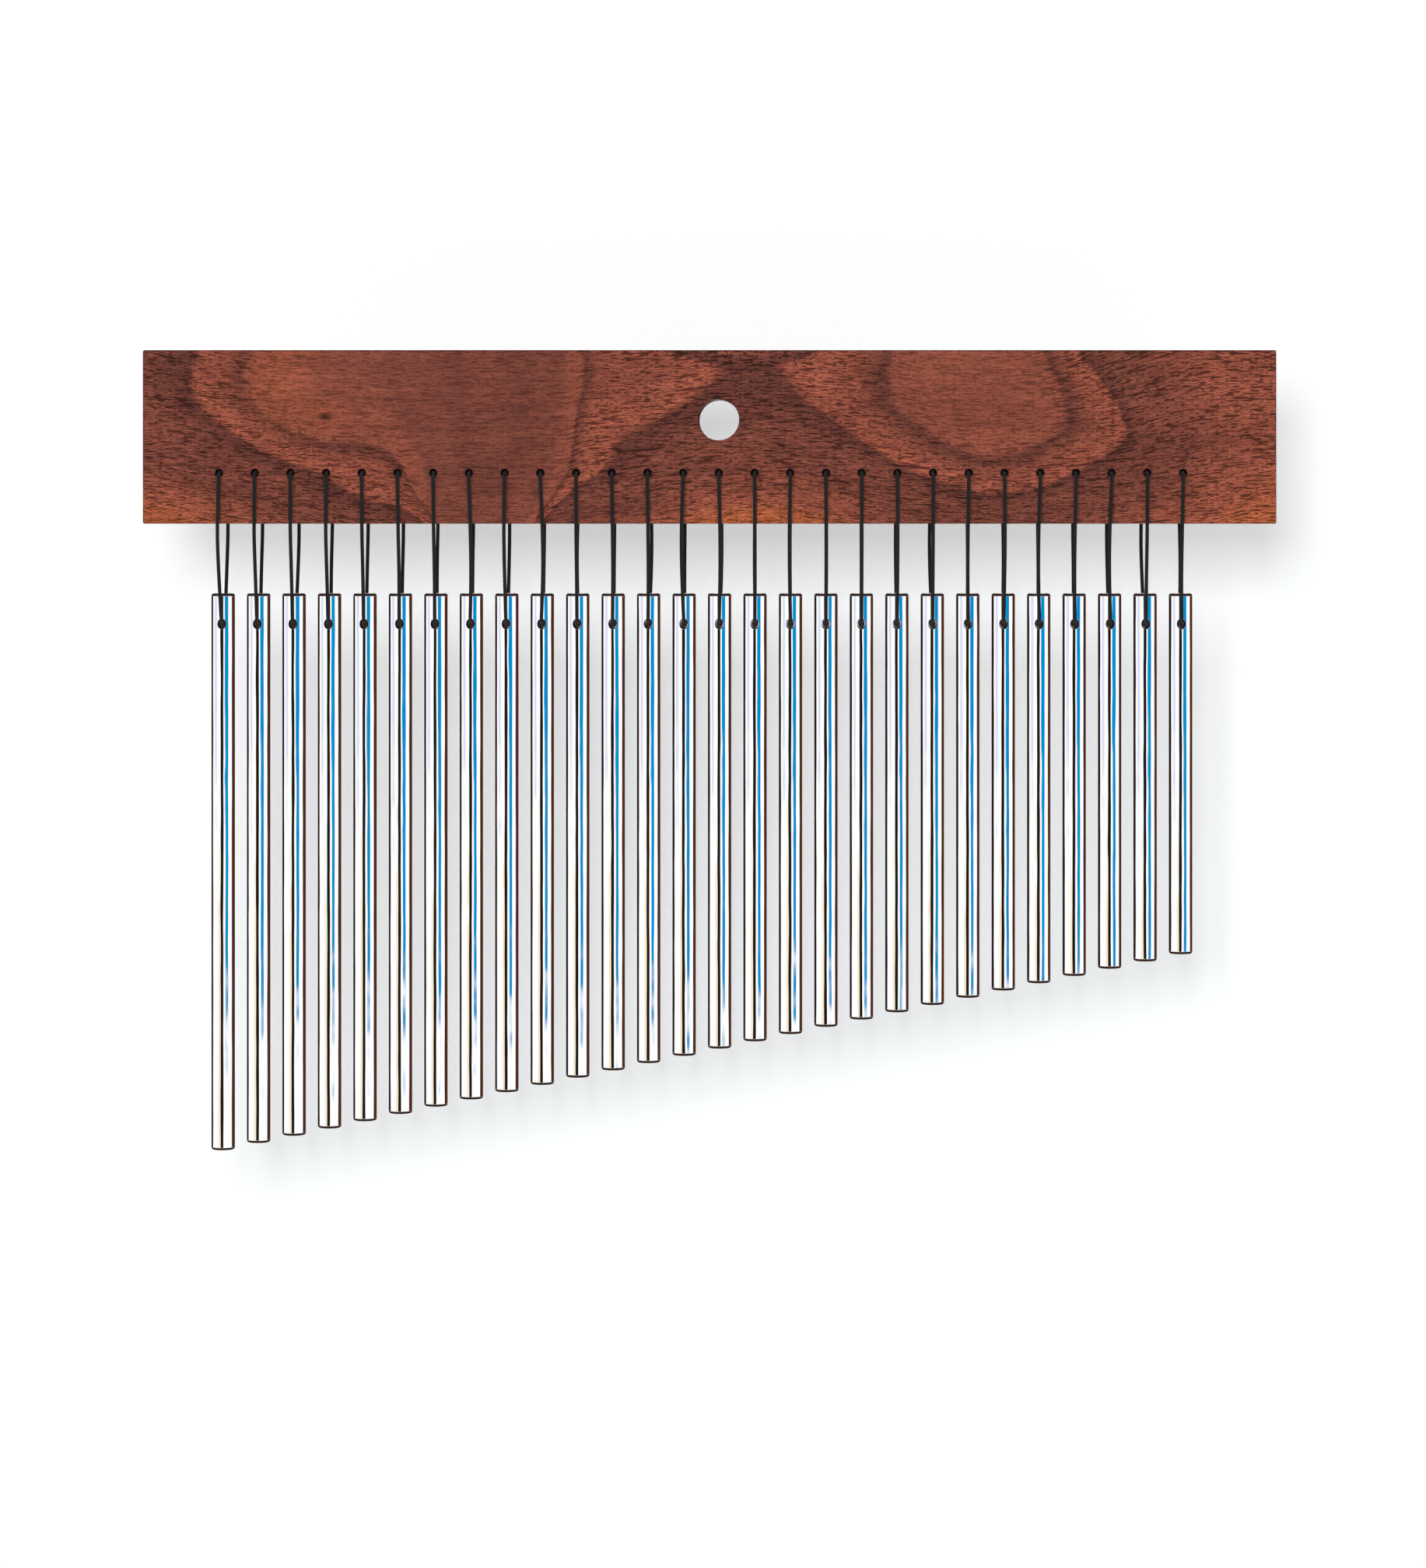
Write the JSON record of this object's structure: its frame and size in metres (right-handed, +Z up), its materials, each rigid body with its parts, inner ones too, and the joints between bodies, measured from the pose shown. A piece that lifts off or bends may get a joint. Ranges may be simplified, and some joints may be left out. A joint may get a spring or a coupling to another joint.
{
  "type": "bar chimes",
  "caption": "Row of graded polished metal bars hung on cord loops under a walnut mantle with a stand hole; swept by hand, the bars swing and strike their neighbours.",
  "frame": {"origin": "middle of the stand hole, at mid-thickness of the mantle", "axes": "+X along the row towards the short bars, +Y through the stand hole to the back, +Z up"},
  "size_m": [0.3048, 0.0238, 0.2161],
  "materials": {
    "walnut": "oiled walnut, satin",
    "polished_bar": "mirror polished",
    "braided_cord": "black braided cord"
  },
  "bodies": {
    "mantle": {"mantle": "walnut"},
    "cord_01": {"cord_01": "braided_cord"},
    "cord_02": {"cord_02": "braided_cord"},
    "cord_03": {"cord_03": "braided_cord"},
    "cord_04": {"cord_04": "braided_cord"},
    "cord_05": {"cord_05": "braided_cord"},
    "cord_06": {"cord_06": "braided_cord"},
    "cord_07": {"cord_07": "braided_cord"},
    "cord_08": {"cord_08": "braided_cord"},
    "cord_09": {"cord_09": "braided_cord"},
    "cord_10": {"cord_10": "braided_cord"},
    "cord_11": {"cord_11": "braided_cord"},
    "cord_12": {"cord_12": "braided_cord"},
    "cord_13": {"cord_13": "braided_cord"},
    "cord_14": {"cord_14": "braided_cord"},
    "cord_15": {"cord_15": "braided_cord"},
    "cord_16": {"cord_16": "braided_cord"},
    "cord_17": {"cord_17": "braided_cord"},
    "cord_18": {"cord_18": "braided_cord"},
    "cord_19": {"cord_19": "braided_cord"},
    "cord_20": {"cord_20": "braided_cord"},
    "cord_21": {"cord_21": "braided_cord"},
    "cord_22": {"cord_22": "braided_cord"},
    "cord_23": {"cord_23": "braided_cord"},
    "cord_24": {"cord_24": "braided_cord"},
    "cord_25": {"cord_25": "braided_cord"},
    "cord_26": {"cord_26": "braided_cord"},
    "cord_27": {"cord_27": "braided_cord"},
    "cord_28": {"cord_28": "braided_cord"},
    "bar_01": {"bar_01": "polished_bar"},
    "bar_02": {"bar_02": "polished_bar"},
    "bar_03": {"bar_03": "polished_bar"},
    "bar_04": {"bar_04": "polished_bar"},
    "bar_05": {"bar_05": "polished_bar"},
    "bar_06": {"bar_06": "polished_bar"},
    "bar_07": {"bar_07": "polished_bar"},
    "bar_08": {"bar_08": "polished_bar"},
    "bar_09": {"bar_09": "polished_bar"},
    "bar_10": {"bar_10": "polished_bar"},
    "bar_11": {"bar_11": "polished_bar"},
    "bar_12": {"bar_12": "polished_bar"},
    "bar_13": {"bar_13": "polished_bar"},
    "bar_14": {"bar_14": "polished_bar"},
    "bar_15": {"bar_15": "polished_bar"},
    "bar_16": {"bar_16": "polished_bar"},
    "bar_17": {"bar_17": "polished_bar"},
    "bar_18": {"bar_18": "polished_bar"},
    "bar_19": {"bar_19": "polished_bar"},
    "bar_20": {"bar_20": "polished_bar"},
    "bar_21": {"bar_21": "polished_bar"},
    "bar_22": {"bar_22": "polished_bar"},
    "bar_23": {"bar_23": "polished_bar"},
    "bar_24": {"bar_24": "polished_bar"},
    "bar_25": {"bar_25": "polished_bar"},
    "bar_26": {"bar_26": "polished_bar"},
    "bar_27": {"bar_27": "polished_bar"},
    "bar_28": {"bar_28": "polished_bar"}
  },
  "joints": [
    {"name": "bar_01_swing", "type": "hinge", "parent": "cord_01", "child": "bar_01", "pos_m": [-0.1343, 0, -0.028], "axis": [1, 0, 0], "range_deg": [-40, 40], "deforming": ["cord_01"]},
    {"name": "cord_01_sway", "type": "hinge", "parent": "mantle", "child": "cord_01", "pos_m": [-0.1343, 0, -0.0143], "axis": [0, -1, 0], "range_deg": [-25, 0.93]},
    {"name": "bar_14_swing", "type": "hinge", "parent": "cord_14", "child": "bar_14", "pos_m": [-0.0095, 0, -0.028], "axis": [1, 0, 0], "range_deg": [-40, 40], "deforming": ["cord_14"]},
    {"name": "cord_14_sway", "type": "hinge", "parent": "mantle", "child": "cord_14", "pos_m": [-0.0095, 0, -0.0143], "axis": [0, -1, 0], "range_deg": [-1.07, 1.08]},
    {"name": "bar_28_swing", "type": "hinge", "parent": "cord_28", "child": "bar_28", "pos_m": [0.1249, 0, -0.028], "axis": [1, 0, 0], "range_deg": [-40, 40], "deforming": ["cord_28"]},
    {"name": "cord_28_sway", "type": "hinge", "parent": "mantle", "child": "cord_28", "pos_m": [0.1249, 0, -0.0143], "axis": [0, -1, 0], "range_deg": [-1.29, 25]},
    {"name": "bar_02_swing", "type": "hinge", "parent": "cord_02", "child": "bar_02", "pos_m": [-0.1247, 0, -0.028], "axis": [1, 0, 0], "range_deg": [-40, 40], "deforming": ["cord_02"]},
    {"name": "cord_02_sway", "type": "hinge", "parent": "mantle", "child": "cord_02", "pos_m": [-0.1247, 0, -0.0143], "axis": [0, -1, 0], "range_deg": [-0.93, 0.94]},
    {"name": "bar_03_swing", "type": "hinge", "parent": "cord_03", "child": "bar_03", "pos_m": [-0.1151, 0, -0.028], "axis": [1, 0, 0], "range_deg": [-40, 40], "deforming": ["cord_03"]},
    {"name": "cord_03_sway", "type": "hinge", "parent": "mantle", "child": "cord_03", "pos_m": [-0.1151, 0, -0.0143], "axis": [0, -1, 0], "range_deg": [-0.94, 0.95]},
    {"name": "bar_04_swing", "type": "hinge", "parent": "cord_04", "child": "bar_04", "pos_m": [-0.1055, 0, -0.028], "axis": [1, 0, 0], "range_deg": [-40, 40], "deforming": ["cord_04"]},
    {"name": "cord_04_sway", "type": "hinge", "parent": "mantle", "child": "cord_04", "pos_m": [-0.1055, 0, -0.0143], "axis": [0, -1, 0], "range_deg": [-0.95, 0.96]},
    {"name": "bar_05_swing", "type": "hinge", "parent": "cord_05", "child": "bar_05", "pos_m": [-0.0959, 0, -0.028], "axis": [1, 0, 0], "range_deg": [-40, 40], "deforming": ["cord_05"]},
    {"name": "cord_05_sway", "type": "hinge", "parent": "mantle", "child": "cord_05", "pos_m": [-0.0959, 0, -0.0143], "axis": [0, -1, 0], "range_deg": [-0.96, 0.97]},
    {"name": "bar_06_swing", "type": "hinge", "parent": "cord_06", "child": "bar_06", "pos_m": [-0.0863, 0, -0.028], "axis": [1, 0, 0], "range_deg": [-40, 40], "deforming": ["cord_06"]},
    {"name": "cord_06_sway", "type": "hinge", "parent": "mantle", "child": "cord_06", "pos_m": [-0.0863, 0, -0.0143], "axis": [0, -1, 0], "range_deg": [-0.97, 0.98]},
    {"name": "bar_07_swing", "type": "hinge", "parent": "cord_07", "child": "bar_07", "pos_m": [-0.0767, 0, -0.028], "axis": [1, 0, 0], "range_deg": [-40, 40], "deforming": ["cord_07"]},
    {"name": "cord_07_sway", "type": "hinge", "parent": "mantle", "child": "cord_07", "pos_m": [-0.0767, 0, -0.0143], "axis": [0, -1, 0], "range_deg": [-0.98, 0.99]},
    {"name": "bar_08_swing", "type": "hinge", "parent": "cord_08", "child": "bar_08", "pos_m": [-0.0671, 0, -0.028], "axis": [1, 0, 0], "range_deg": [-40, 40], "deforming": ["cord_08"]},
    {"name": "cord_08_sway", "type": "hinge", "parent": "mantle", "child": "cord_08", "pos_m": [-0.0671, 0, -0.0143], "axis": [0, -1, 0], "range_deg": [-0.99, 1]},
    {"name": "bar_09_swing", "type": "hinge", "parent": "cord_09", "child": "bar_09", "pos_m": [-0.0575, 0, -0.028], "axis": [1, 0, 0], "range_deg": [-40, 40], "deforming": ["cord_09"]},
    {"name": "cord_09_sway", "type": "hinge", "parent": "mantle", "child": "cord_09", "pos_m": [-0.0575, 0, -0.0143], "axis": [0, -1, 0], "range_deg": [-1, 1.02]},
    {"name": "bar_10_swing", "type": "hinge", "parent": "cord_10", "child": "bar_10", "pos_m": [-0.0479, 0, -0.028], "axis": [1, 0, 0], "range_deg": [-40, 40], "deforming": ["cord_10"]},
    {"name": "cord_10_sway", "type": "hinge", "parent": "mantle", "child": "cord_10", "pos_m": [-0.0479, 0, -0.0143], "axis": [0, -1, 0], "range_deg": [-1.02, 1.03]},
    {"name": "bar_11_swing", "type": "hinge", "parent": "cord_11", "child": "bar_11", "pos_m": [-0.0383, 0, -0.028], "axis": [1, 0, 0], "range_deg": [-40, 40], "deforming": ["cord_11"]},
    {"name": "cord_11_sway", "type": "hinge", "parent": "mantle", "child": "cord_11", "pos_m": [-0.0383, 0, -0.0143], "axis": [0, -1, 0], "range_deg": [-1.03, 1.04]},
    {"name": "bar_12_swing", "type": "hinge", "parent": "cord_12", "child": "bar_12", "pos_m": [-0.0287, 0, -0.028], "axis": [1, 0, 0], "range_deg": [-40, 40], "deforming": ["cord_12"]},
    {"name": "cord_12_sway", "type": "hinge", "parent": "mantle", "child": "cord_12", "pos_m": [-0.0287, 0, -0.0143], "axis": [0, -1, 0], "range_deg": [-1.04, 1.05]},
    {"name": "bar_13_swing", "type": "hinge", "parent": "cord_13", "child": "bar_13", "pos_m": [-0.0191, 0, -0.028], "axis": [1, 0, 0], "range_deg": [-40, 40], "deforming": ["cord_13"]},
    {"name": "cord_13_sway", "type": "hinge", "parent": "mantle", "child": "cord_13", "pos_m": [-0.0191, 0, -0.0143], "axis": [0, -1, 0], "range_deg": [-1.05, 1.07]},
    {"name": "bar_15_swing", "type": "hinge", "parent": "cord_15", "child": "bar_15", "pos_m": [0.0001, 0, -0.028], "axis": [1, 0, 0], "range_deg": [-40, 40], "deforming": ["cord_15"]},
    {"name": "cord_15_sway", "type": "hinge", "parent": "mantle", "child": "cord_15", "pos_m": [0.0001, 0, -0.0143], "axis": [0, -1, 0], "range_deg": [-1.08, 1.09]},
    {"name": "bar_16_swing", "type": "hinge", "parent": "cord_16", "child": "bar_16", "pos_m": [0.0097, 0, -0.028], "axis": [1, 0, 0], "range_deg": [-40, 40], "deforming": ["cord_16"]},
    {"name": "cord_16_sway", "type": "hinge", "parent": "mantle", "child": "cord_16", "pos_m": [0.0097, 0, -0.0143], "axis": [0, -1, 0], "range_deg": [-1.09, 1.11]},
    {"name": "bar_17_swing", "type": "hinge", "parent": "cord_17", "child": "bar_17", "pos_m": [0.0193, 0, -0.028], "axis": [1, 0, 0], "range_deg": [-40, 40], "deforming": ["cord_17"]},
    {"name": "cord_17_sway", "type": "hinge", "parent": "mantle", "child": "cord_17", "pos_m": [0.0193, 0, -0.0143], "axis": [0, -1, 0], "range_deg": [-1.11, 1.12]},
    {"name": "bar_18_swing", "type": "hinge", "parent": "cord_18", "child": "bar_18", "pos_m": [0.0289, 0, -0.028], "axis": [1, 0, 0], "range_deg": [-40, 40], "deforming": ["cord_18"]},
    {"name": "cord_18_sway", "type": "hinge", "parent": "mantle", "child": "cord_18", "pos_m": [0.0289, 0, -0.0143], "axis": [0, -1, 0], "range_deg": [-1.12, 1.14]},
    {"name": "bar_19_swing", "type": "hinge", "parent": "cord_19", "child": "bar_19", "pos_m": [0.0385, 0, -0.028], "axis": [1, 0, 0], "range_deg": [-40, 40], "deforming": ["cord_19"]},
    {"name": "cord_19_sway", "type": "hinge", "parent": "mantle", "child": "cord_19", "pos_m": [0.0385, 0, -0.0143], "axis": [0, -1, 0], "range_deg": [-1.14, 1.15]},
    {"name": "bar_20_swing", "type": "hinge", "parent": "cord_20", "child": "bar_20", "pos_m": [0.0481, 0, -0.028], "axis": [1, 0, 0], "range_deg": [-40, 40], "deforming": ["cord_20"]},
    {"name": "cord_20_sway", "type": "hinge", "parent": "mantle", "child": "cord_20", "pos_m": [0.0481, 0, -0.0143], "axis": [0, -1, 0], "range_deg": [-1.15, 1.17]},
    {"name": "bar_21_swing", "type": "hinge", "parent": "cord_21", "child": "bar_21", "pos_m": [0.0577, 0, -0.028], "axis": [1, 0, 0], "range_deg": [-40, 40], "deforming": ["cord_21"]},
    {"name": "cord_21_sway", "type": "hinge", "parent": "mantle", "child": "cord_21", "pos_m": [0.0577, 0, -0.0143], "axis": [0, -1, 0], "range_deg": [-1.17, 1.19]},
    {"name": "bar_22_swing", "type": "hinge", "parent": "cord_22", "child": "bar_22", "pos_m": [0.0673, 0, -0.028], "axis": [1, 0, 0], "range_deg": [-40, 40], "deforming": ["cord_22"]},
    {"name": "cord_22_sway", "type": "hinge", "parent": "mantle", "child": "cord_22", "pos_m": [0.0673, 0, -0.0143], "axis": [0, -1, 0], "range_deg": [-1.19, 1.2]},
    {"name": "bar_23_swing", "type": "hinge", "parent": "cord_23", "child": "bar_23", "pos_m": [0.0769, 0, -0.028], "axis": [1, 0, 0], "range_deg": [-40, 40], "deforming": ["cord_23"]},
    {"name": "cord_23_sway", "type": "hinge", "parent": "mantle", "child": "cord_23", "pos_m": [0.0769, 0, -0.0143], "axis": [0, -1, 0], "range_deg": [-1.2, 1.22]},
    {"name": "bar_24_swing", "type": "hinge", "parent": "cord_24", "child": "bar_24", "pos_m": [0.0865, 0, -0.028], "axis": [1, 0, 0], "range_deg": [-40, 40], "deforming": ["cord_24"]},
    {"name": "cord_24_sway", "type": "hinge", "parent": "mantle", "child": "cord_24", "pos_m": [0.0865, 0, -0.0143], "axis": [0, -1, 0], "range_deg": [-1.22, 1.24]},
    {"name": "bar_25_swing", "type": "hinge", "parent": "cord_25", "child": "bar_25", "pos_m": [0.0961, 0, -0.028], "axis": [1, 0, 0], "range_deg": [-40, 40], "deforming": ["cord_25"]},
    {"name": "cord_25_sway", "type": "hinge", "parent": "mantle", "child": "cord_25", "pos_m": [0.0961, 0, -0.0143], "axis": [0, -1, 0], "range_deg": [-1.24, 1.26]},
    {"name": "bar_26_swing", "type": "hinge", "parent": "cord_26", "child": "bar_26", "pos_m": [0.1057, 0, -0.028], "axis": [1, 0, 0], "range_deg": [-40, 40], "deforming": ["cord_26"]},
    {"name": "cord_26_sway", "type": "hinge", "parent": "mantle", "child": "cord_26", "pos_m": [0.1057, 0, -0.0143], "axis": [0, -1, 0], "range_deg": [-1.26, 1.27]},
    {"name": "bar_27_swing", "type": "hinge", "parent": "cord_27", "child": "bar_27", "pos_m": [0.1153, 0, -0.028], "axis": [1, 0, 0], "range_deg": [-40, 40], "deforming": ["cord_27"]},
    {"name": "cord_27_sway", "type": "hinge", "parent": "mantle", "child": "cord_27", "pos_m": [0.1153, 0, -0.0143], "axis": [0, -1, 0], "range_deg": [-1.27, 1.29]}
  ]
}
